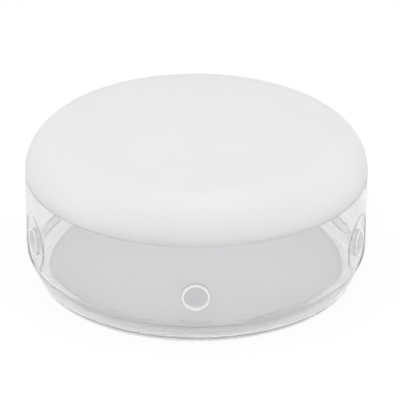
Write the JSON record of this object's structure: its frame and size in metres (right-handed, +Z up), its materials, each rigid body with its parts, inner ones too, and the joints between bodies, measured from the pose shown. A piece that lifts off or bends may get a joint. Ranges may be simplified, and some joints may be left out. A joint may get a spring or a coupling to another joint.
{
  "type": "wet palette",
  "caption": "Round wet palette with a shallow clear tray, a clear wall with dished side ports and a lift-off frosted lid.",
  "frame": {"origin": "on the table, under the middle of the palette", "axes": "+Z up along the palette's axis, one port faces -Y"},
  "size_m": [0.12, 0.12, 0.0534],
  "materials": {
    "clear_plastic": "clear moulded plastic, polished",
    "milky_plastic": "whitish moulded plastic, satin",
    "frosted_plastic": "white frosted moulded plastic, fine matte",
    "sponge": "thin pale cellulose sponge",
    "paper": "pale permeable palette paper"
  },
  "bodies": {
    "base": {"base_tray": "clear_plastic", "sponge": "sponge", "palette_paper": "paper"},
    "cover": {"clear_wall": "clear_plastic", "port_bush_1": "milky_plastic", "port_bush_2": "milky_plastic", "port_bush_3": "milky_plastic", "port_bush_4": "milky_plastic", "port_bush_5": "milky_plastic"},
    "lid": {"frosted_lid": "frosted_plastic"}
  },
  "joints": [
    {"name": "cover_lift", "type": "slide", "parent": "base", "child": "cover", "axis": [0, 0, 1], "range_m": [0, 0.06]},
    {"name": "lid_lift", "type": "slide", "parent": "cover", "child": "lid", "axis": [0, 0, 1], "range_m": [0, 0.04]}
  ]
}
